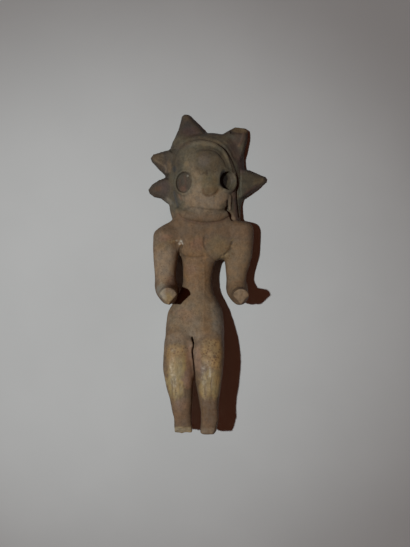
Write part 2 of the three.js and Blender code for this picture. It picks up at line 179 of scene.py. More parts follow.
def table(rows):
    """A function of y that gives every column of the rows, smoothly and without overshoot."""
    rows = np.array(sorted(rows))
    ys, values = rows[:, 0], rows[:, 1:]
    gaps = np.diff(ys)[:, None]
    slopes = np.diff(values, axis=0) / gaps
    product = slopes[:-1] * slopes[1:]
    total = np.where(product > 0, slopes[:-1] + slopes[1:], 1.0)
    tangents = np.vstack([slopes[:1], np.where(product > 0, 2 * product / total, 0.0), slopes[-1:]])

    def at(y):
        y = np.clip(y, ys[0], ys[-1])
        i = np.clip(np.searchsorted(ys, y, side="right") - 1, 0, len(gaps) - 1)
        gap = gaps[i]
        t = (y[..., None] - ys[i][..., None]) / gap
        a, b = values[i], values[i + 1]
        out = (
            a * (2 * t**3 - 3 * t**2 + 1)
            + tangents[i] * gap * (t**3 - 2 * t**2 + t)
            + b * (3 * t**2 - 2 * t**3)
            + tangents[i + 1] * gap * (t**3 - t**2)
        )
        return np.moveaxis(out, -1, 0).astype(np.float32)

    return at


def curve(points, steps=5):
    """A smooth curve through the points, as a finer list of points."""
    p = np.array(points, float)
    if len(p) < 3:
        return p
    p = np.vstack([2 * p[0] - p[1], p, 2 * p[-1] - p[-2]])
    t = (np.arange(steps) / steps)[:, None]
    out = []
    for a, b, c, d in zip(p, p[1:], p[2:], p[3:]):
        out.append(0.5 * (2 * b + (c - a) * t + (2 * a - 5 * b + 4 * c - d) * t**2 + (3 * b - a - 3 * c + d) * t**3))
    return np.vstack(out + [p[-2:-1]])


def joined(a, b, blend):
    """The union of two fields, with a fillet."""
    h = np.maximum(blend - np.abs(a - b), 0.0) / blend
    return np.minimum(a, b) - h * h * blend * 0.25


def smoothstep(value, start, end):
    t = np.clip((value - start) / (end - start), 0.0, 1.0)
    return t * t * (3 - 2 * t)


def noise(x, y, z, size, seed):
    """Smooth noise from -1 to 1 with features of the given size, the same on every run."""
    cells, parts = [], []
    for axis in (x, y, z):
        q = np.asarray(axis, float) / size + seed * 17.31
        cell = np.floor(q)
        f = q - cell
        cells.append(cell.astype(np.int64))
        parts.append(f * f * f * (f * (f * 6 - 15) + 10))
    total = 0.0
    for corner in range(8):
        i, j, k = corner & 1, corner >> 1 & 1, corner >> 2 & 1
        key = (cells[0] + i) * 73856093 + (cells[1] + j) * 19349663 + (cells[2] + k) * 83492791
        key = key + seed * 2654435761
        key = (key ^ (key >> 13)) * 1274126177
        key = (key ^ (key >> 16)) & 0xFFFF
        weight = 1.0
        for part, far_side in zip(parts, (i, j, k)):
            weight = weight * (part if far_side else 1 - part)
        total = total + weight * (key / 32767.5 - 1)
    return total


def path_distance(x, y, path):
    """How far each point lies from the path, seen from the front."""
    best = np.float64(FAR**2)
    for (ax, ay), (bx, by) in zip(path, path[1:]):
        ex, ey = bx - ax, by - ay
        t = np.clip(((x - ax) * ex + (y - ay) * ey) / (ex * ex + ey * ey), 0, 1)
        best = np.minimum(best, (x - ax - t * ex) ** 2 + (y - ay - t * ey) ** 2)
    return np.sqrt(best)


def outline_distance(x, y, corners):
    """How far each point lies from the outline, seen from the front, negative inside."""
    inside = np.zeros(np.broadcast(x, y).shape, bool)
    for (ax, ay), (bx, by) in zip(corners, corners[1:] + corners[:1]):
        crossed = (ay > y) != (by > y)
        rise = by - ay if by != ay else 1e-9
        inside ^= crossed & (x < (bx - ax) * (y - ay) / rise + ax)
    away = path_distance(x, y, corners + corners[:1])
    return np.where(inside, -away, away)


def axes(turn=0.0, lean=0.0, nod=0.0):
    """The three axes, as rows, of a thing turned about Z, leant towards +X and nodded back, in degrees."""
    a, b, c = (math.radians(v) for v in (turn, lean, nod))
    about_z = np.array([[math.cos(a), -math.sin(a), 0], [math.sin(a), math.cos(a), 0], [0, 0, 1]])
    about_y = np.array([[math.cos(b), 0, math.sin(b)], [0, 1, 0], [-math.sin(b), 0, math.cos(b)]])
    about_x = np.array([[1, 0, 0], [0, math.cos(c), -math.sin(c)], [0, math.sin(c), math.cos(c)]])
    return (about_z @ about_y @ about_x).T


# Shapes. Each gives its box and its field of signed distances.

class Shape:
    def __init__(self, box, field):
        self.low, self.high = (np.array(corner, float) for corner in box)
        self.field = field


def around(middle, reach, field):
    return Shape(([m - reach for m in middle], [m + reach for m in middle]), field)


def swelling(middle, half, power=2.0, **pose):
    """A rounded lump: an ellipsoid, or with a higher power a squarer one."""
    rows = axes(**pose)

    def field(x, y, z):
        gap = (x - middle[0], y - middle[1], z - middle[2])
        local = [sum(c * g for c, g in zip(row, gap)) for row in rows]
        u, v, w = (np.abs(part) / size for part, size in zip(local, half))
        k = (u**power + v**power + w**power) ** (1 / power) + 1e-6
        slope = np.sqrt(sum(((part / k) ** (power - 1) / size) ** 2 for part, size in zip((u, v, w), half)))
        return (k - 1) / slope

    return around(middle, float(np.linalg.norm(half)), field)


def tube(points, radii):
    """A tube through the points, with a radius at each."""
    points = np.array(points, float)
    radii = np.broadcast_to(np.array(radii, float), len(points))

    def field(x, y, z):
        best = None
        for a, b, ra, rb in zip(points, points[1:], radii, radii[1:]):
            along = b - a
            t = ((x - a[0]) * along[0] + (y - a[1]) * along[1] + (z - a[2]) * along[2]) / (along @ along)
            t = np.clip(t, 0, 1)
            gap = np.sqrt(
                (x - a[0] - t * along[0]) ** 2 + (y - a[1] - t * along[1]) ** 2 + (z - a[2] - t * along[2]) ** 2
            ) - (ra + t * (rb - ra))
            best = gap if best is None else np.minimum(best, gap)
        return best

    reach = radii.max()
    return Shape((points.min(axis=0) - reach, points.max(axis=0) + reach), field)


def loft(rows, domes, squareness=2.2):
    """A body through sections. domes gives the length of the rounding at its low and high end."""
    at = table(rows)
    n = squareness
    rows = np.array(rows, float)
    start, end = rows[:, 0].min(), rows[:, 0].max()

    def field(x, y, z):
        left, right, back, side, front = at(np.asarray(y))
        half = (right - left) / 2
        u = np.abs(x - (left + right) / 2) / half
        depth = np.where(z > side, front - side, side - back)
        w = np.abs(z - side) / depth
        low_end = np.maximum(start + domes[0] - y, 0) / domes[0]
        high_end = np.maximum(y - end + domes[1], 0) / domes[1]
        v = np.maximum(low_end, high_end)
        dome = np.where(low_end > high_end, domes[0], domes[1])
        k = (u**n + w**n + v**n) ** (1 / n) + 1e-5
        slope = np.sqrt(
            ((u / k) ** (n - 1) / half) ** 2
            + ((w / k) ** (n - 1) / depth) ** 2
            + (np.minimum(v / k, 1) ** (n - 1) / dome) ** 2
        )
        return (k - 1) / np.maximum(slope, 1e-3)

    return Shape(([rows[:, 1].min(), start, rows[:, 3].min()], [rows[:, 2].max(), end, rows[:, 5].max()]), field)


def spike(outline, root, tip, heights, bevel):
    """A flat horn of the headdress, lying on its back, thinner towards its tip and along its edges."""
    along = np.subtract(tip, root)
    span = float(along @ along)
    low_x, low_y = np.min(outline, axis=0)
    high_x, high_y = np.max(outline, axis=0)

    def field(x, y, z):
        away = outline_distance(x, y, outline)
        share = np.clip(((x - root[0]) * along[0] + (y - root[1]) * along[1]) / span, 0, 1)
        crown = heights[0] + (heights[1] - heights[0]) * share
        inward = np.clip(-away / bevel, 0, 1)
        top = 1.0 + (crown - 1.0) * (1 - (1 - inward) ** 1.8)
        flat = np.maximum(away + SPIKE_ROUNDING, 0)
        tall = np.abs(z - top / 2) - top / 2 + SPIKE_ROUNDING
        outer = np.sqrt(flat**2 + np.maximum(tall, 0) ** 2)
        return outer + np.minimum(np.maximum(away + SPIKE_ROUNDING, tall), 0) - SPIKE_ROUNDING

    return Shape(([low_x, low_y, 0.0], [high_x, high_y, max(heights)]), field)


def drum(middle, radius, half_depth, rounding, **pose):
    """A short round drum, for the sunken discs."""
    rows = axes(**pose)

    def field(x, y, z):
        gap = (x - middle[0], y - middle[1], z - middle[2])
        u, v, w = (sum(c * g for c, g in zip(row, gap)) for row in rows)
        r = np.sqrt(u * u + v * v) - radius + rounding
        h = np.abs(w) - half_depth + rounding
        outer = np.sqrt(np.maximum(r, 0) ** 2 + np.maximum(h, 0) ** 2)
        return outer + np.minimum(np.maximum(r, h), 0) - rounding

    return around(middle, radius + half_depth, field)


def blade(path, half_width, floor, top):
    """A thin upright wall along a path, for cutting cracks."""
    path = curve(path)

    def field(x, y, z):
        return np.maximum(path_distance(x, y, path) - half_width, floor - z)

    low_x, low_y = path.min(axis=0) - half_width
    high_x, high_y = path.max(axis=0) + half_width
    return Shape(([low_x, low_y, floor], [high_x, high_y, top]), field)


def beyond(point, facing, box, rough, size, seed):
    """Everything in the box past a broken, uneven plane, for cutting off ends and chips."""
    facing = np.array(facing, float) / np.linalg.norm(facing)

    def field(x, y, z):
        past = sum(c * (axis - at) for c, axis, at in zip(facing, (x, y, z), point))
        uneven = noise(x, y, z, size, seed) + 0.5 * noise(x, y, z, size / 2.2, seed + 1)
        gaps = [np.abs(axis - (start + end) / 2) - (end - start) / 2 for axis, start, end in zip((x, y, z), *box)]
        return np.maximum(rough * uneven - past, np.maximum(np.maximum(gaps[0], gaps[1]), gaps[2]))

    return Shape(box, field)


# The clay, as a list of steps: (what is done, the shape, how softly).

def combined(action, total, part, blend):
    if action == "join":
        return joined(total, part, blend)
    return -joined(-total, part, blend)


def clay_field(steps, x, y, z):
    """The clay's signed distance on a grid whose lines are x, y and z."""
    total = np.full((len(x), len(y), len(z)), FAR, np.float32)
    for action, shape, blend in steps:
        reach = blend + 1.5
        parts = []
        for line, start, end in zip((x, y, z), shape.low - reach, shape.high + reach):
            parts.append(slice(np.searchsorted(line, start), np.searchsorted(line, end)))
        block = tuple(parts)
        if 0 in total[block].shape:
            continue
        part = shape.field(x[block[0], None, None], y[None, block[1], None], z[None, None, block[2]])
        total[block] = combined(action, total[block], part, blend)
    return total


def clay_distance(steps, p):
    """The clay's signed distance at each point."""
    total = np.full(len(p), FAR)
    for action, shape, blend in steps:
        reach = blend + 1.5
        near = ((p > shape.low - reach) & (p < shape.high + reach)).all(axis=1)
        if near.any():
            total[near] = combined(action, total[near], shape.field(*p[near].T), blend)
    return total


def laid(steps, path, lift=0.0):
    """The path's points set down on the front of the clay, and raised by lift."""
    p = np.column_stack([np.array(path, float), np.full(len(path), high[2] + 4.0)])
    for _ in range(60):
        p[:, 2] -= 0.7 * np.clip(clay_distance(steps, p), 0, 2)
    p[:, 2] += lift
    return p


def clay():
    steps = []

    def join(shape, blend):
        steps.append(("join", shape, blend))

    def carve(shape, blend):
        steps.append(("carve", shape, blend))

    # The legs, fused at the thighs, and the torso pressed into them.
    join(loft(LEFT_LEG, (1.6, 3.0), 2.9), 1.0)
    join(loft(RIGHT_LEG, (1.6, 3.0), 2.9), 2.6)
    join(loft(TORSO, (4.5, 2.0)), 3.0)
    web = [(-5.6, -23.0, 13.0), (-5.6, -28.5, 15.2), (-5.4, -33.0, 15.8), (-5.2, -36.2, 15.4)]
    join(tube(web, [2.4, 2.5, 2.2, 1.4]), 1.8)
    carve(blade(SLIT, 0.25, 6.0, 22.0), 0.15)

    # The arms, whose forearms turn up into short stumps.
    join(loft(LEFT_ARM, (2.6, 3.0)), 1.6)
    join(loft(RIGHT_ARM, (2.6, 2.2), 2.5), 1.4)
    join(tube([(-16.0, -7.0, 8.6), (-15.3, -9.0, 15.0), (-14.8, -9.6, 25.0)], [4.0, 3.6, 3.1]), 3.0)
    join(tube([(11.6, -7.2, 7.6), (12.3, -9.4, 13.0), (12.7, -9.9, 23.4)], [3.6, 3.3, 3.0]), 3.0)

    # The breasts: flat pads, sharp along their lower edges.
    join(swelling((-5.8, 10.0, 8.0), (4.7, 4.7, 2.6), 3.0, turn=2, nod=-8), 1.8)
    join(swelling((3.9, 9.9, 7.7), (6.0, 4.8, 2.6), 3.0, turn=-8, lean=-4, nod=-8), 2.4)
    for path, depth in ((RIGHT_ARMPIT, 0.05), (LEFT_ARMPIT, 0.4)):
        carve(tube(laid(steps, curve(path), 0.25 - depth), 0.55), 0.3)

    # The head: a hood that spreads on the table, its spikes, and the face bulging out of it.
    join(loft(HOOD, (2.0, 1.8), 1.75), 0.8)
    for spec in SPIKES:
        join(spike(**spec), 1.2)
    join(swelling((-0.1, 35.2, 7.3), (9.4, 13.8, 6.3), 2.5), 1.6)
    join(swelling((0.0, 41.8, 10.4), (5.8, 5.4, 4.3), 2.3), 1.4)
    join(tube(laid(steps, curve(BAND), -BAND_SINK), BAND_RADIUS), 0.5)
    join(swelling((0.7, 33.2, 10.6), (3.6, 4.3, 3.7), 2.6, nod=-9), 1.6)
    for disc in DISCS:
        sunken_disc(steps, **disc)
    carve(tube(laid(steps, curve(CREVICE), 0.1), [0.3] + [0.62] * (5 * (len(CREVICE) - 1))), 0.3)

    # The collar, a roll of clay laid under the chin.
    roll = laid(steps, curve([(-11.2, 23.6), (-8.6, 22.3), (-4.6, 21.5), (-0.6, 21.2), (3.6, 21.5), (7.0, 22.4)]), -1.4)
    join(tube(roll, [1.2] + [2.4] * (len(roll) - 2) + [1.9]), 0.5)
    carve(tube(laid(steps, curve(COLLAR_GAP), -0.2), 1.0), 0.3)

    # Breaks and chips: the ends of both feet, the outer corner of the right one, the stumps, a spike.
    for box, point, facing, seed in (
        (((-20.0, -70.0, 5.0), (-4.4, -56.0, 25.0)), (-9.3, -59.2, 19.0), (0.0, -0.72, 0.69), 11),
        (((-20.0, -70.0, 5.0), (-4.4, -58.0, 25.0)), (-9.3, -62.0, 16.0), (0.0, -1.0, -0.05), 12),
        (((-4.2, -70.0, 5.0), (10.0, -58.0, 25.0)), (0.6, -62.4, 16.0), (0.05, -1.0, -0.1), 13),
        (((-4.2, -70.0, 5.0), (10.0, -57.6, 25.0)), (3.0, -60.2, 17.0), (0.93, -0.30, 0.22), 14),
        (((-22.0, -16.0, 14.0), (-10.6, -2.0, 32.0)), (-14.8, -10.5, 22.9), (-0.08, -0.26, 0.96), 15),
        (((-22.0, -15.4, 12.5), (-14.4, -9.0, 32.0)), (-16.9, -11.6, 18.0), (-0.70, -0.68, 0.20), 18),
        (((-15.4, -15.4, 12.5), (-10.6, -9.0, 32.0)), (-12.9, -11.8, 18.0), (0.74, -0.64, 0.20), 19),
        (((8.0, -16.0, 10.0), (18.0, -2.0, 30.0)), (12.6, -10.5, 20.8), (-0.06, -0.34, 0.94), 16),
        (((6.0, -16.0, 7.0), (13.2, -9.0, 30.0)), (10.8, -12.0, 15.0), (-0.72, -0.66, 0.20), 20),
        (((12.0, -16.0, 7.0), (18.0, -9.0, 30.0)), (14.5, -12.2, 15.0), (0.72, -0.66, 0.20), 21),
        (((9.0, 54.3, 0.0), (20.0, 60.0, 12.0)), (12.6, 56.2, 2.7), (0.05, 0.60, 0.80), 17),
    ):
        carve(beyond(point, facing, box, 0.22, 1.5, seed), 0.2)
    return steps


def sunken_disc(steps, middle, radius, depth, lean, rim):
    """A disc pressed into the side of the face. rim is how far its low rim reaches to both sides of +X, in degrees."""
    x, y, z = laid(steps, [middle])[0]
    across, along, up = axes(lean=lean)
    ring = []
    for turn in np.radians(np.linspace(-rim, rim, 25)):
        ring.append((x, y, z) + radius * 1.12 * (math.cos(turn) * across + math.sin(turn) * along) - 0.35 * up)
    steps.append(("join", tube(ring, 0.65), 0.8))
    half = 1.0 + depth / 2
    steps.append(("carve", drum((x, y, z) + (half - depth) * up, radius, half, 0.3, lean=lean), 0.25))


# Meshing: one point in each grid cell that the surface crosses, and a quad around each crossed edge.

CORNERS = [(i, j, k) for i in (0, 1) for j in (0, 1) for k in (0, 1)]
EDGES = [(a, b) for a in range(8) for b in range(a + 1, 8)
         if sum(abs(p - q) for p, q in zip(CORNERS[a], CORNERS[b])) == 1]


def surface(field, lines):
    inside = field < 0
    cells = tuple(n - 1 for n in field.shape)
    mixed = np.zeros(cells, bool)
    first = inside[:-1, :-1, :-1]
    for i, j, k in CORNERS[1:]:
        mixed |= inside[i:i + cells[0], j:j + cells[1], k:k + cells[2]] != first
    active = np.argwhere(mixed)
    index = np.full(cells, -1, np.int64)
    index[mixed] = np.arange(len(active))

    values = [field[tuple((active + corner).T)].astype(float) for corner in CORNERS]
    where = np.zeros((len(active), 3))
    count = np.zeros(len(active))
    for a, b in EDGES:
        crossed = (values[a] < 0) != (values[b] < 0)
        t = np.where(crossed, values[a] / np.where(crossed, values[a] - values[b], 1), 0)
        start, step = np.array(CORNERS[a], float), np.subtract(CORNERS[b], CORNERS[a])
        where += crossed[:, None] * (start + t[:, None] * step)
        count += crossed
    where /= count[:, None]
    points = np.stack([
        line[active[:, n]] + where[:, n] * (line[active[:, n] + 1] - line[active[:, n]])
        for n, line in enumerate(lines)
    ], axis=1)

    quads = []
    for axis in range(3):
        one, two = (axis + 1) % 3, (axis + 2) % 3
        head = [slice(None)] * 3
        tail = [slice(None)] * 3
        head[axis], tail[axis] = slice(None, -1), slice(1, None)
        changes = np.argwhere(inside[tuple(head)] != inside[tuple(tail)])
        leaving = inside[tuple(changes.T)]
        around = []
        for d1, d2 in ((0, 0), (1, 0), (1, 1), (0, 1)):
            cell = changes.copy()
            cell[:, one] -= d1
            cell[:, two] -= d2
            around.append(index[tuple(cell.T)])
        around = np.stack(around, axis=1)
        quads.append(np.where(leaving[:, None], around, around[:, ::-1]))
    return points, np.concatenate(quads)


def largest_piece(points, quads):
    """Keeps only the piece with the most points, so that no crumbs float free."""
    label = np.arange(len(points))
    while True:
        least = label[quads].min(axis=1)
        new = label.copy()
        for n in range(4):
            np.minimum.at(new, quads[:, n], least)
        new = new[new]
        if (new == label).all():
            break
        label = new
    kept = label == np.bincount(label).argmax()
    number = np.cumsum(kept) - 1
    return points[kept], number[quads[kept[quads[:, 0]]]]


def normals_of(points, quads):
    a, b, c, d = (points[quads[:, n]] for n in range(4))
    face = np.cross(c - a, d - b)
    out = np.zeros_like(points)
    for n in range(4):
        for axis in range(3):
            out[:, axis] += np.bincount(quads[:, n], face[:, axis], len(points))
    return out / np.maximum(np.linalg.norm(out, axis=1), 1e-9)[:, None]


def neighbour_mean(values, quads):
    total = np.zeros_like(values)
    count = np.zeros(len(values))
    for n in range(4):
        for m in (1, 3):
            other = quads[:, (n + m) % 4]
            count += np.bincount(quads[:, n], minlength=len(values))
            for axis in range(values.shape[1]):
                total[:, axis] += np.bincount(quads[:, n], values[other, axis], len(values))
    return total / count[:, None]


def settle(points, quads, steps):
    """Evens the mesh out and lays it on the clay's surface."""
    for _ in range(3):
        normal = normals_of(points, quads)
        shift = neighbour_mean(points, quads) - points
        shift -= (shift * normal).sum(axis=1)[:, None] * normal
        points = points + 0.6 * shift
        gap = np.clip(clay_distance(steps, points), -STEP, STEP)
        points = points - gap[:, None] * normal
    return points


# Strokes pressed into the clay or standing on it, with the colour painted along them, in some of them painted shade or
# a painted highlight:
# (points, half width, rise in millimetres, colour, how strongly it covers).
STROKES = [
    # The brow, the notch above the nose, painted shade along its underside, and the lines beside the band.
    ([(-4.4, 39.8), (-3.4, 38.8), (-2.5, 37.4), (-1.4, 37.8), (-0.2, 37.4)], 0.30, -0.22, "umber", 0.45),
    ([(-0.2, 37.3), (-0.2, 38.8)], 0.30, -0.30, "umber", 0.55),
    ([(-1.8, 31.6), (-1.5, 29.9), (0.5, 29.0), (3.0, 29.9), (4.2, 31.4)], 0.38, -0.30, "rust", 0.75),
    ([(-6.1, 46.1), (-3.4, 47.3), (0.0, 47.3), (3.1, 46.4), (5.0, 44.8), (6.3, 43.1), (7.3, 40.7)], 0.32, -0.22,
     "umber", 0.35),
    # Painted shade outside the right side of the band.
    ([(4.5, 49.6), (6.6, 48.1), (8.2, 45.5), (9.6, 41.4), (10.3, 38.9)], 0.40, -0.35, "umber", 0.60),
    ([(-6.7, 51.2), (-3.4, 51.6), (0.0, 51.2)], 0.35, -0.15, "umber", 0.30),
    # Locks beside the face with painted shade in the slit between them, and the ridge between its right cheek and the
    # gap.
    ([(8.7, 29.4), (8.7, 24.3)], 0.34, 0.40, "pale", 0.60),
    ([(7.8, 27.6), (7.7, 24.2)], 0.30, -0.60, "shadow_black", 0.85),
    ([(10.2, 31.0), (10.8, 25.9), (11.6, 20.4)], 0.70, 0.30, "purple", 0.80),
    ([(-13.2, 31.2), (-12.5, 28.4), (-11.7, 25.4)], 0.45, -0.30, "slate", 0.75),
    ([(-12.0, 30.4), (-11.3, 28.2), (-10.8, 26.0)], 0.30, 0.25, "slate", 0.30),
    ([(-11.2, 30.0), (-10.2, 28.0)], 0.40, -0.15, "rose", 0.50),
    ([(-9.9, 30.2), (-9.7, 28.4)], 0.22, 0.08, "pale", 0.45),
    # The edges of the collar, with painted shade along its lower edge.
    ([(-9.2, 24.0), (-6.2, 24.8), (-3.0, 24.3), (0.9, 23.8), (7.0, 23.8)], 0.32, -0.25, "umber", 0.40),
    ([(-11.7, 22.3), (-9.2, 20.3), (-4.2, 19.0), (-0.3, 18.7), (4.6, 19.3), (7.0, 20.4), (9.6, 21.9)], 0.36, -0.30,
     "red", 0.45),
    # The middle of the chest, the lower edges of the breasts, and the faint facet down the belly.
    ([(-1.4, 18.4), (-1.2, 15.0), (-1.1, 12.7)], 0.25, -0.10, "umber", 0.22),
    ([(-1.1, 13.4), (-1.6, 11.2), (-1.2, 9.6), (-0.4, 8.2)], 0.30, -0.30, "umber", 0.60),
    ([(-9.6, 6.0), (-6.9, 5.4), (-3.8, 5.4), (-1.4, 5.8)], 0.34, -0.20, "umber", 0.40),
    ([(0.3, 6.4), (2.1, 4.6), (3.8, 3.9), (5.4, 4.5)], 0.34, -0.20, "umber", 0.40),
    ([(-1.4, 3.6), (-1.2, -5.4), (-1.4, -15.1), (-1.6, -22.9)], 0.35, 0.12, "orange", 0.20),
    # The fork at the head of the slit and the small ridge above it.
    ([(-6.9, -25.0), (-6.2, -25.8), (-5.7, -27.0)], 0.22, -0.25, "umber", 0.75),
    ([(-4.9, -25.2), (-5.6, -26.4)], 0.22, -0.25, "umber", 0.70),
    ([(-5.4, -28.2), (-4.4, -31.0), (-4.2, -34.0)], 0.25, 0.12, "pale", 0.35),
    ([(-4.5, -24.9), (-4.6, -22.6)], 0.45, 0.25, "pale", 0.40),
    # Scratches on the chin, the arms and the hips.
    ([(0.5, 26.5), (1.7, 26.9), (3.0, 26.3)], 0.20, -0.12, "pale", 0.35),
    ([(0.9, 25.4), (2.0, 25.8), (3.0, 25.4)], 0.20, -0.12, "pale", 0.30),
    ([(-13.8, -16.1), (-10.7, -15.0), (-8.0, -15.4)], 0.30, -0.04, "rose", 0.30),
    ([(9.5, -4.2), (12.0, -4.0), (14.2, -4.4)], 0.22, -0.10, "rose", 0.35),
    ([(9.9, -5.6), (12.2, -5.4)], 0.20, -0.08, "rose", 0.30),
    # Ribs and flakes on the spikes.
    ([(13.4, 38.6), (18.0, 37.9), (21.6, 37.0)], 0.22, -0.14, "umber", 0.35),
    ([(13.2, 35.6), (18.0, 35.6), (21.6, 36.2)], 0.22, -0.14, "umber", 0.30),
    ([(13.4, 32.2), (16.5, 32.8), (19.6, 34.2)], 0.22, -0.14, "umber", 0.30),
    ([(-20.8, 44.0), (-18.8, 42.8), (-17.6, 41.8)], 0.24, 0.12, "dun", 0.45),
    ([(-21.0, 45.0), (-18.6, 44.2), (-16.8, 43.4)], 0.22, -0.12, "umber", 0.40),
    ([(-21.4, 46.0), (-18.4, 45.2), (-16.2, 44.4)], 0.24, -0.20, "umber", 0.45),
    ([(-20.2, 42.6), (-18.2, 41.2)], 0.24, -0.18, "umber", 0.40),
    ([(-17.0, 42.0), (-16.4, 40.4), (-16.6, 39.2)], 0.32, 0.15, "pale", 0.50),
    ([(14.2, 54.6), (13.6, 52.0), (12.4, 49.4)], 0.50, 0.20, "rose", 0.35),
    ([(-6.7, 61.6), (-4.2, 58.6), (-0.8, 55.2)], 0.40, -0.10, "umber", 0.70),
    ([(12.4, 38.6), (12.3, 34.0), (12.5, 29.0)], 0.25, 0.10, "moss", 0.60),
    ([(-6.5, 36.8), (-7.9, 38.5), (-10.3, 38.3), (-11.9, 36.2), (-12.1, 33.4), (-11.0, 31.4)], 0.30, -0.08, "umber", 0.50),
    ([(-9.0, 37.0), (-8.6, 34.4), (-9.0, 32.4)], 0.45, 0.0, "red", 0.35),
    ([(-10.8, 36.2), (-10.9, 34.0)], 0.35, 0.0, "red", 0.30),
    # Crusts beside the armpits, and painted shade in the cracks of the right armpit.
    ([(-10.6, 11.9), (-10.1, 11.5)], 0.26, 0.15, "white", 0.95),
    ([(-11.2, 10.8), (-10.8, 10.5)], 0.22, 0.12, "white", 0.80),
    ([(-9.9, 10.9), (-9.7, 10.4)], 0.20, 0.12, "white", 0.85),
    ([(-12.3, 12.0), (-11.8, 11.8)], 0.20, 0.10, "white", 0.60),
    ([(-13.4, 11.7), (-13.1, 11.9)], 0.20, 0.10, "cream", 0.75),
    ([(-14.4, 11.1), (-14.1, 11.3)], 0.20, 0.08, "cream", 0.70),
    ([(-15.4, 11.6), (-15.2, 11.4)], 0.18, 0.08, "cream", 0.60),
    ([(-12.8, 10.6), (-12.4, 10.4)], 0.20, -0.08, "umber", 0.50),
    ([(-11.6, 11.4), (-11.1, 11.3)], 0.18, -0.08, "umber", 0.60),
    ([(-9.9, 10.0), (-10.2, 9.2)], 0.30, -0.10, "umber", 0.75),
    ([(9.9, 12.4), (9.3, 12.0)], 0.22, 0.10, "cream", 0.60),
    ([(8.7, 8.2), (8.4, 7.8)], 0.20, 0.10, "cream", 0.60),
    ([(7.4, 6.6), (6.9, 6.2)], 0.22, 0.12, "cream", 0.70),
    ([(6.0, 5.6), (5.4, 5.5)], 0.22, 0.12, "cream", 0.70),
    ([(4.6, 5.4), (4.2, 5.0)], 0.20, 0.10, "cream", 0.55),
    ([(9.6, 11.4), (9.3, 10.6)], 0.32, -0.15, "shadow_black", 0.60),
    ([(9.2, 9.0), (8.0, 7.6)], 0.34, -0.15, "umber", 0.80),
    ([(7.0, 7.0), (6.4, 6.6)], 0.30, -0.12, "shadow_black", 0.60),
    ([(5.4, 6.2), (4.2, 4.6)], 0.30, -0.12, "umber", 0.65),
    # Painted highlights down the middle of both shins, and brown runs on the shins.
    ([(-9.4, -37.0), (-9.2, -40.6)], 0.34, 0.0, "cream", 0.60),
    ([(0.8, -36.6), (0.9, -40.0)], 0.34, 0.0, "white", 0.45),
    ([(-1.0, -41.6), (-0.8, -47.6)], 0.22, -0.06, "umber", 0.40),
    ([(1.4, -43.0), (1.2, -51.0)], 0.24, -0.06, "umber", 0.45),
    ([(3.4, -42.0), (2.9, -47.0)], 0.20, -0.05, "umber", 0.35),
    ([(-12.6, -40.0), (-12.2, -46.0)], 0.22, -0.05, "umber", 0.30),
    ([(-10.6, -43.0), (-10.4, -49.0)], 0.22, -0.05, "umber", 0.35),
    ([(-8.4, -46.0), (-8.2, -50.0)], 0.22, -0.05, "umber", 0.25),
]

# Ripples that follow the strip over the hood: how far out each lies, its rise and how strongly it shows.
RIPPLES = [(1.16, -0.10, 0.30), (1.25, 0.08, 0.0), (1.33, -0.10, 0.30), (1.42, 0.06, 0.0)]
STROKES += [
    ([(x * out, 38.0 + (y - 38.0) * out) for x, y in BAND[2:9]], 0.32, rise, "umber", strength)
    for out, rise, strength in RIPPLES
]

# Colours, as the share of red, green and blue light that the surface gives back.
PALETTE = {
    "clay": (0.170, 0.110, 0.063),
    "pale": (0.278, 0.200, 0.128),
    "tan": (0.220, 0.148, 0.082),
    "ochre": (0.192, 0.130, 0.064),
    "orange": (0.225, 0.131, 0.060),
    "rose": (0.222, 0.114, 0.069),
    "dun": (0.255, 0.184, 0.112),
    "gold": (0.335, 0.214, 0.088),
    "cream": (0.335, 0.240, 0.104),
    "mauve": (0.275, 0.165, 0.104),
    "calf": (0.178, 0.110, 0.063),
    "grey": (0.288, 0.262, 0.207),
    "cheek": (0.212, 0.164, 0.098),
    "brow": (0.108, 0.081, 0.047),
    "lilac": (0.140, 0.110, 0.082),
    "slip": (0.112, 0.096, 0.062),
    "olive": (0.150, 0.112, 0.056),
    "moss": (0.124, 0.117, 0.078),
    "horn": (0.066, 0.048, 0.033),
    "purple": (0.090, 0.050, 0.041),
    "slate": (0.040, 0.044, 0.048),
    "red": (0.165, 0.080, 0.050),
    "rust": (0.130, 0.068, 0.029),
    "umber": (0.055, 0.035, 0.022),
    # Near black, used for painted shade and shadow in slits, cracks and the right disc.
    "shadow_black": (0.010, 0.008, 0.007),
    "white": (0.640, 0.590, 0.480),
}

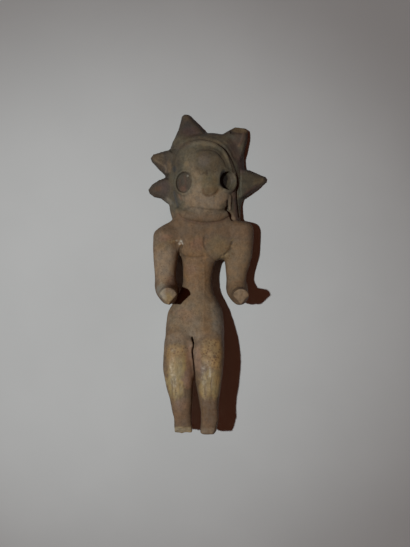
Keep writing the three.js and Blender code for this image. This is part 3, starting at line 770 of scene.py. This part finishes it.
# Painted patches, from the chest down and then the head:
# (colour, middle x and y, half width and length, turn in degrees, how strongly it covers, softness).
PATCHES = [
    ("pale", -16.8, 3.5, 4.8, 10.0, 3, 0.90, 0.35),
    ("ochre", -16.6, 10.4, 4.0, 2.2, 10, 0.60, 0.50),
    ("rose", -16.6, 12.9, 2.6, 1.3, 15, 0.50, 0.50),
    ("grey", -17.8, -7.4, 2.0, 2.6, 10, 0.80, 0.35),
    ("red", -14.2, -4.0, 1.9, 2.2, 15, 0.50, 0.60),
    ("pale", -14.8, -9.8, 2.2, 3.0, 0, 0.85, 0.30),
    ("cream", -14.8, -10.6, 1.9, 2.4, 0, 0.80, 0.30),
    ("white", -16.4, -9.4, 0.9, 1.6, 20, 0.35, 0.50),
    ("tan", 12.4, 3.0, 5.2, 12.0, 0, 0.90, 0.30),
    ("calf", 13.0, 15.0, 5.0, 3.6, -20, 0.60, 0.50),
    ("pale", 12.6, -9.6, 2.2, 3.2, 0, 0.60, 0.35),
    ("orange", -5.6, 9.8, 4.8, 4.4, 0, 0.75, 0.30),
    ("rose", -4.0, 10.4, 2.8, 2.4, 20, 0.55, 0.45),
    ("ochre", 4.4, 9.0, 5.2, 4.8, -15, 0.85, 0.30),
    ("orange", -4.2, -1.0, 5.6, 8.0, 0, 0.85, 0.35),
    ("rose", -6.8, 0.8, 2.4, 2.0, 0, 0.35, 0.60),
    ("tan", -5.0, -11.5, 9.5, 5.0, 0, 0.80, 0.50),
    ("dun", -5.0, -18.5, 11.5, 7.0, 0, 0.85, 0.35),
    ("mauve", -8.6, -17.0, 3.6, 2.6, -10, 0.35, 0.60),
    ("grey", 4.0, -17.0, 2.6, 8.0, 8, 0.45, 0.60),
    ("orange", -0.6, -20.5, 1.9, 5.5, 0, 0.55, 0.60),
    ("pale", -11.4, -28.4, 5.2, 5.0, 0, 0.70, 0.40),
    ("ochre", -12.0, -30.0, 3.6, 3.4, 0, 0.55, 0.50),
    ("gold", 1.4, -31.2, 4.8, 6.2, 0, 0.85, 0.35),
    ("gold", -12.4, -32.0, 3.9, 4.4, 0, 0.80, 0.35),
    ("cream", -12.0, -41.2, 3.8, 8.8, -3, 0.95, 0.22),
    ("cream", 0.9, -43.4, 4.1, 6.2, 0, 0.90, 0.22),
    ("gold", 4.0, -40.0, 1.6, 6.0, 0, 0.60, 0.50),
    ("mauve", -7.5, -41.0, 2.3, 3.6, 0, 0.95, 0.20),
    ("mauve", -6.8, -33.0, 1.3, 6.0, 0, 0.80, 0.40),
    ("mauve", -3.7, -34.0, 1.3, 5.4, 0, 0.75, 0.40),
    ("umber", 2.6, -32.6, 0.50, 0.75, 0, 0.70, 0.40),
    ("calf", -9.8, -54.0, 4.2, 5.6, 0, 0.90, 0.30),
    ("mauve", -10.6, -50.6, 2.6, 2.0, 0, 0.45, 0.50),
    ("calf", 0.8, -54.0, 4.2, 5.6, 0, 0.90, 0.30),
    ("cream", -9.3, -60.9, 3.8, 1.6, 0, 0.85, 0.30),
    ("white", -9.4, -60.8, 3.2, 1.2, 0, 0.30, 0.50),
    ("pale", 0.7, -61.2, 3.6, 1.4, 0, 0.60, 0.40),
    # The face.
    ("pale", -0.6, 29.0, 9.2, 6.0, 0, 0.90, 0.30),
    ("cheek", -4.6, 38.4, 4.8, 8.0, 0, 0.85, 0.40),
    ("dun", -5.2, 38.6, 2.8, 3.6, 10, 0.65, 0.50),
    ("cheek", 4.6, 35.0, 3.6, 5.0, 0, 0.70, 0.50),
    ("pale", -4.4, 31.6, 2.6, 4.0, 0, 0.50, 0.50),
    ("brow", -0.2, 42.2, 5.6, 5.2, 0, 0.85, 0.35),
    ("lilac", -1.4, 43.2, 2.2, 3.0, 0, 0.70, 0.50),
    ("cheek", 4.0, 42.0, 2.2, 3.0, 0, 0.35, 0.60),
    ("olive", 0.9, 33.6, 3.4, 4.3, 0, 0.80, 0.30),
    ("rust", 0.9, 31.2, 2.6, 1.3, 0, 0.30, 0.60),
    ("moss", 0.6, 36.0, 1.6, 1.2, 0, 0.30, 0.60),
    # The discs, with their rims, a painted highlight on the left one and a painted shadow over the left part of the
    # right one's floor.
    ("moss", -9.2, 34.7, 4.0, 4.9, 0, 0.45, 0.25),
    ("horn", -9.2, 34.7, 3.0, 3.7, 0, 0.80, 0.15),
    ("red", -9.9, 32.2, 1.7, 1.1, 0, 0.50, 0.50),
    # A painted highlight on the left disc.
    ("white", -7.8, 37.1, 0.35, 0.35, 0, 0.35, 0.40),
    ("moss", 8.0, 35.1, 3.6, 4.4, 0, 0.60, 0.25),
    ("slip", 9.2, 35.4, 2.2, 3.5, 0, 0.80, 0.25),
    ("lilac", 9.4, 36.4, 1.4, 2.2, 0, 0.70, 0.40),
    # A painted shadow of the rim over the left part of the right disc's floor.
    ("shadow_black", 6.2, 35.3, 1.6, 3.8, 0, 0.95, 0.25),
    # The hood.
    ("horn", -13.6, 44.4, 2.4, 6.6, 12, 0.60, 0.60),
    ("horn", -13.4, 30.0, 1.8, 5.0, -12, 0.45, 0.60),
    ("cheek", -1.0, 50.8, 8.4, 2.2, 0, 0.60, 0.60),
    ("cheek", 7.6, 44.0, 1.2, 4.6, 25, 0.45, 0.60),
    ("orange", -15.2, 41.4, 1.0, 2.6, 5, 0.45, 0.40),
    ("slate", -13.1, 40.2, 0.70, 1.2, 0, 0.75, 0.50),
    ("purple", 11.2, 46.6, 2.6, 4.6, 30, 0.60, 0.60),
    ("purple", 13.4, 41.6, 1.4, 3.6, 0, 0.80, 0.50),
    ("moss", 11.0, 40.0, 0.70, 1.2, 0, 0.55, 0.50),
    ("horn", -2.0, 53.0, 8.6, 2.0, 0, 0.50, 0.60),
    ("purple", -9.0, 49.6, 3.0, 1.2, 20, 0.35, 0.60),
    # The spikes.
    ("slate", -7.6, 56.8, 2.2, 2.0, 0, 0.35, 0.50),
    ("purple", -6.6, 55.0, 2.8, 2.0, 0, 0.60, 0.50),
    ("ochre", -8.8, 61.2, 1.4, 1.4, 0, 0.25, 0.60),
    ("ochre", 13.0, 56.0, 3.2, 1.2, -4, 0.70, 0.30),
    ("purple", 11.8, 52.2, 2.4, 2.4, 0, 0.50, 0.60),
    ("ochre", -19.6, 44.6, 2.6, 1.8, -20, 0.45, 0.50),
    ("rust", -19.9, 32.8, 1.4, 1.1, 0, 0.60, 0.50),
    ("purple", -16.8, 33.4, 2.6, 2.6, 0, 0.40, 0.60),
    ("grey", -15.2, 27.6, 2.0, 0.9, -35, 0.45, 0.60),
    ("slip", 17.6, 35.4, 5.4, 3.4, -12, 0.75, 0.50),
    ("ochre", 20.2, 35.4, 2.2, 1.5, 20, 0.45, 0.50),
    ("purple", 17.4, 31.9, 3.4, 0.9, 38, 0.70, 0.50),
]

# Where the clay is polished, speckled or streaked: (x, y, half width, half length, how much).
POLISHED = [
    (-11.6, -39.0, 4.6, 12.0, 1.0), (0.9, -40.5, 4.6, 10.0, 0.9), (-3.0, -26.0, 12.0, 6.0, 0.5),
    (-5.0, -4.0, 5.0, 10.0, 0.3), (-12.5, 10.5, 3.0, 1.6, 0.8),
]
SPECKLED = [
    (1.4, -30.5, 5.0, 6.6, 1.0), (-12.0, -29.0, 4.6, 4.2, 0.8), (-4.0, -2.0, 5.0, 7.5, 0.55),
    (-14.3, -4.2, 2.2, 3.0, 1.0), (-4.0, 9.5, 9.0, 4.5, 0.4), (0.8, -53.0, 4.4, 7.0, 0.7), (3.4, -56.0, 1.6, 6.0, 1.0),
    (-16.0, 11.0, 4.4, 2.0, 0.7), (7.6, 8.0, 2.6, 3.4, 0.8),
]
STREAKED = [
    (-11.8, -44.0, 4.2, 8.0, 0.9), (0.8, -44.5, 4.2, 8.0, 1.0), (0.8, -54.0, 4.0, 6.0, 0.5),
]


def model():
    steps = clay()
    lines = [np.arange(start - MARGIN, end + MARGIN, STEP) for start, end in zip(low, high)]
    field = clay_field(steps, *(line.astype(np.float32) for line in lines))
    points, quads = largest_piece(*surface(field, lines))
    points = settle(points, quads, steps)
    x, y, z = points.T
    normal = normals_of(points, quads)
    hand = 0.15 * noise(x, y, z, 7.0, 1) + 0.07 * noise(x, y, z, 2.6, 2) + 0.03 * noise(x, y, z, 1.1, 3)
    front = smoothstep(normal[:, 2], 0.0, 0.4)
    for path, width, rise, _, _ in STROKES:
        away = path_distance(x, y, curve(path)) / width
        hand += front * rise * np.exp(-away * away)
    points = points + hand[:, None] * normal
    points[:, 2] = np.maximum(points[:, 2], 0.0)
    return points, quads


def oval(x, y, middle, half, turn=0.0):
    """1 on the oval's edge, less inside it."""
    c, s = math.cos(math.radians(turn)), math.sin(math.radians(turn))
    dx, dy = x - middle[0], y - middle[1]
    return np.hypot((c * dx + s * dy) / half[0], (c * dy - s * dx) / half[1])


def blended(tone, colour, weight):
    return tone + weight[:, None] * (np.array(PALETTE[colour]) - tone)


def paint(points, quads):
    """The colour of each point, painted shade and light included, and how polished, speckled and streaked it is."""
    x, y, z = points.T
    normal = normals_of(points, quads)
    front = smoothstep(normal[:, 2], -0.1, 0.35)
    wobble = 0.22 * noise(x, y, z, 2.4, 31) + 0.16 * noise(x, y, z, 0.9, 32)
    tone = np.tile(np.array(PALETTE["clay"]), (len(points), 1))
    hood = smoothstep(y + 1.5 * wobble, 20.5, 26.0)
    hood_edge = np.where(x < 0, -15.2, 14.0)
    tone = blended(tone, "slip", hood)
    tone = blended(tone, "horn", hood * smoothstep(np.maximum(np.abs(x / hood_edge) - 1, (y - 53.5) / 12), -0.06, 0.1))
    for colour, mx, my, hx, hy, turn, strength, soft in PATCHES:
        edge = oval(x, y, (mx, my), (hx, hy), turn) + wobble
        tone = blended(tone, colour, strength * front * (1 - smoothstep(edge, 1 - soft, 1 + soft)))
    for path, width, _, colour, strength in STROKES:
        away = path_distance(x, y, curve(path)) / width
        tone = blended(tone, colour, strength * front * np.exp(-away * away))
    # Darker in the hollows and lighter on the ridges, by the bend of the mesh: painted shade and dirt in the hollows,
    # painted light on the ridges.
    hollow = ((neighbour_mean(points, quads) - points) * normal).sum(axis=1)
    for _ in range(4):
        hollow = neighbour_mean(hollow[:, None], quads)[:, 0]
    tone *= (1 - 0.22 * smoothstep(hollow, 0.006, 0.04) + 0.10 * smoothstep(-hollow, 0.01, 0.05))[:, None]
    finish = np.zeros((len(points), 3))
    for channel, ovals in enumerate((POLISHED, SPECKLED, STREAKED)):
        for mx, my, hx, hy, amount in ovals:
            edge = oval(x, y, (mx, my), (hx, hy)) + wobble
            amount = amount * front * (1 - smoothstep(edge, 0.6, 1.3))
            finish[:, channel] = np.maximum(finish[:, channel], amount)
    return tone, finish


def mesh_object(name, points, quads):
    mesh = bpy.data.meshes.new(name)
    mesh.vertices.add(len(points))
    mesh.vertices.foreach_set("co", (points * MM).ravel())
    mesh.loops.add(quads.size)
    mesh.loops.foreach_set("vertex_index", quads.ravel().astype(np.int32))
    mesh.polygons.add(len(quads))
    mesh.polygons.foreach_set("loop_start", np.arange(0, quads.size, 4, dtype=np.int32))
    mesh.polygons.foreach_set("loop_total", np.full(len(quads), 4, np.int32))
    mesh.update(calc_edges=True)
    mesh.validate()
    mesh.shade_smooth()
    obj = bpy.data.objects.new(name, mesh)
    bpy.context.scene.collection.objects.link(obj)
    return obj


def add_colours(mesh, name, values):
    layer = mesh.color_attributes.new(name, "FLOAT_COLOR", "POINT")
    layer.data.foreach_set("color", np.column_stack([values, np.ones(len(values))]).astype(np.float32).ravel())


points, quads = model()
print("figurine mesh", len(points), "points", 2 * len(quads), "triangles")
body = mesh_object("clay_figurine", points, quads)
tone, finish = paint(points, quads)
add_colours(body.data, "tone", tone)
add_colours(body.data, "finish", finish)


# Materials.

class Graph:
    """A small helper for building a material's nodes."""

    def __init__(self, name):
        self.material = bpy.data.materials.new(name)
        self.material.use_nodes = True
        self.tree = self.material.node_tree
        self.shader = self.tree.nodes["Principled BSDF"]

    def node(self, kind, settings=None, **inputs):
        node = self.tree.nodes.new(kind)
        for key, value in (settings or {}).items():
            setattr(node, key, value)
        for key, value in inputs.items():
            self.put(node.inputs[int(key[1:]) if key[1:].isdigit() else key], value)
        return node

    def put(self, socket, value):
        if isinstance(value, bpy.types.NodeSocket):
            self.tree.links.new(value, socket)
        else:
            socket.default_value = value

    def math(self, operation, a, b=0.0, clamp=False):
        return self.node("ShaderNodeMath", dict(operation=operation, use_clamp=clamp), _0=a, _1=b).outputs[0]

    def ramp(self, value, start, end, low=0.0, high=1.0):
        node = self.node("ShaderNodeMapRange", dict(interpolation_type="SMOOTHSTEP"), _0=value, _1=start, _2=end,
                         _3=low, _4=high)
        return node.outputs[0]

    def mix(self, share, a, b, blend="MIX"):
        node = self.tree.nodes.new("ShaderNodeMix")
        node.data_type, node.blend_type = "RGBA", blend
        for key, value in ((0, share), (6, a), (7, b)):
            self.put(node.inputs[key], value)
        return node.outputs[2]

    def place(self, scale):
        """The place in the object, in millimetres divided by scale, which may differ by axis."""
        source = self.tree.nodes.get("place") or self.node("ShaderNodeTexCoord", dict(name="place"))
        sizes = tuple(1 / (MM * size) for size in scale)
        node = self.node("ShaderNodeVectorMath", dict(operation="MULTIPLY"), _0=source.outputs["Object"], _1=sizes)
        return node.outputs[0]

    def noise(self, size, detail=3.0, roughness=0.55, stretch=(1, 1, 1)):
        vector = self.place(tuple(size * s for s in stretch))
        node = self.node("ShaderNodeTexNoise", Vector=vector, Scale=1.0, Detail=detail, Roughness=roughness)
        return node.outputs[0]

    def dots(self, size, randomness=1.0):
        node = self.node("ShaderNodeTexVoronoi", Vector=self.place((size,) * 3), Scale=1.0, Randomness=randomness)
        return node.outputs["Distance"]


def fired_clay():
    g = Graph("fired_clay")
    tone = g.node("ShaderNodeAttribute", dict(attribute_name="tone")).outputs["Color"]
    finish = g.node("ShaderNodeAttribute", dict(attribute_name="finish")).outputs["Color"]
    polish, speckle, streak = g.node("ShaderNodeSeparateColor", Color=finish).outputs[:3]

    cloud = g.noise(3.6, 3.0, 0.6)
    mottle = g.noise(1.5, 3.0, 0.6, (1, 1.6, 1))
    grain = g.noise(0.7, 3.0, 0.6)
    sand = g.noise(0.28, 2.0, 0.5)
    warm = g.mix(g.ramp(cloud, 0.35, 0.65), (0.93, 0.97, 1.03, 1), (1.07, 1.02, 0.95, 1))
    colour = g.mix(1.0, tone, warm, "MULTIPLY")
    light = g.math("ADD", g.ramp(mottle, 0.3, 0.7, 0.86, 1.16), g.ramp(grain, 0.3, 0.7, -0.10, 0.08))
    light = g.math("ADD", light, g.ramp(sand, 0.25, 0.75, -0.03, 0.03))
    colour = g.mix(1.0, colour, g.node("ShaderNodeCombineColor", _0=light, _1=light, _2=light).outputs[0], "MULTIPLY")

    spots = g.math("MULTIPLY", g.ramp(g.dots(1.0), 0.50, 0.22), g.ramp(g.noise(2.0), 0.36, 0.52))
    colour = g.mix(g.math("MULTIPLY", spots, g.math("MULTIPLY", speckle, 0.8)), colour, (0.15, 0.075, 0.03, 1))
    lines = g.ramp(g.noise(0.7, 3.0, 0.6, (1, 8, 3)), 0.52, 0.64)
    colour = g.mix(g.math("MULTIPLY", lines, g.math("MULTIPLY", streak, 0.75)), colour, (0.16, 0.10, 0.045, 1))
    pits = g.math("MULTIPLY", g.ramp(g.dots(1.3), 0.22, 0.10), g.ramp(g.noise(5.0), 0.45, 0.6))
    colour = g.mix(g.math("MULTIPLY", pits, 0.5), colour, (0.06, 0.04, 0.025, 1))
    g.put(g.shader.inputs["Base Color"], colour)

    worn = g.math("MULTIPLY", polish, g.ramp(grain, 0.3, 0.7, 0.75, 1.0))
    g.put(g.shader.inputs["Roughness"], g.math("SUBTRACT", g.ramp(grain, 0.3, 0.7, 0.84, 0.74), g.math("MULTIPLY", worn, 0.34)))
    rough = g.math("SUBTRACT", 1.0, g.math("MULTIPLY", polish, 0.6))
    height = g.math("ADD", g.math("MULTIPLY", grain, 0.10), g.math("MULTIPLY", sand, 0.05))
    height = g.math("SUBTRACT", g.math("MULTIPLY", height, rough), g.math("MULTIPLY", pits, 0.08))
    height = g.math("SUBTRACT", height, g.math("MULTIPLY", g.math("MULTIPLY", lines, streak), 0.03))
    bump = g.node("ShaderNodeBump", Height=height, Distance=MM, Strength=0.8)
    g.put(g.shader.inputs["Normal"], bump.outputs[0])
    return g.material


body.data.materials.append(fired_clay())

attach(body, "root")
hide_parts(NODE)


# The table, the light and the camera.

VIEW_HEIGHT = 400.0
VIEW_MIDDLE = (-1.05, -0.9)
PIXEL = 0.4
PICTURE = (410, 547)
TABLE_HALF = 1.5
LAMP = (-0.340, 0.005, 0.807)

table_mesh = bpy.data.meshes.new("table")
table_mesh.from_pydata(
    [(x * TABLE_HALF, y * TABLE_HALF, 0) for x, y in ((-1, -1), (1, -1), (1, 1), (-1, 1))], [], [(0, 1, 2, 3)]
)
table_top = bpy.data.objects.new("table", table_mesh)
bpy.context.scene.collection.objects.link(table_top)
cloth = Graph("pale_table")
mottle = cloth.ramp(cloth.noise(60.0, 3.0), 0.3, 0.7)
cloth.put(cloth.shader.inputs["Base Color"], cloth.mix(mottle, (0.60, 0.615, 0.615, 1), (0.63, 0.645, 0.645, 1)))
cloth.shader.inputs["Roughness"].default_value = 0.8
table_mesh.materials.append(cloth.material)

AIM = (-0.033, -0.012, 0.0)
toward = mathutils.Vector(AIM) - mathutils.Vector(LAMP)
for name, kind, energy in (("lamp", "POINT", 9.3), ("lamp_beam", "SPOT", 10.0)):
    light = bpy.data.lights.new(name, kind)
    light.shadow_soft_size = 0.012
    light.energy = energy
    light.color = (0.945, 0.985, 0.985)
    if kind == "SPOT":
        light.spot_size = math.radians(19)
        light.spot_blend = 1.0
    light_object = bpy.data.objects.new(name, light)
    light_object.location = LAMP
    light_object.rotation_euler = toward.to_track_quat("-Z", "Y").to_euler()
    bpy.context.scene.collection.objects.link(light_object)

world = bpy.data.worlds.new("room")
world.use_nodes = True
world.node_tree.nodes["Background"].inputs["Color"].default_value = (1.0, 0.31, 0.17, 1)
world.node_tree.nodes["Background"].inputs["Strength"].default_value = 0.055
bpy.context.scene.world = world

camera = bpy.data.cameras.new("camera")
camera.sensor_fit = "VERTICAL"
camera.sensor_height = 24.0
camera.lens = camera.sensor_height * VIEW_HEIGHT / (PICTURE[1] * PIXEL)
camera.clip_start = 0.01
camera_object = bpy.data.objects.new("camera", camera)
camera_object.location = (VIEW_MIDDLE[0] * MM, VIEW_MIDDLE[1] * MM, VIEW_HEIGHT * MM)
bpy.context.scene.collection.objects.link(camera_object)
bpy.context.scene.camera = camera_object
bpy.context.scene.view_settings.view_transform = "Standard"
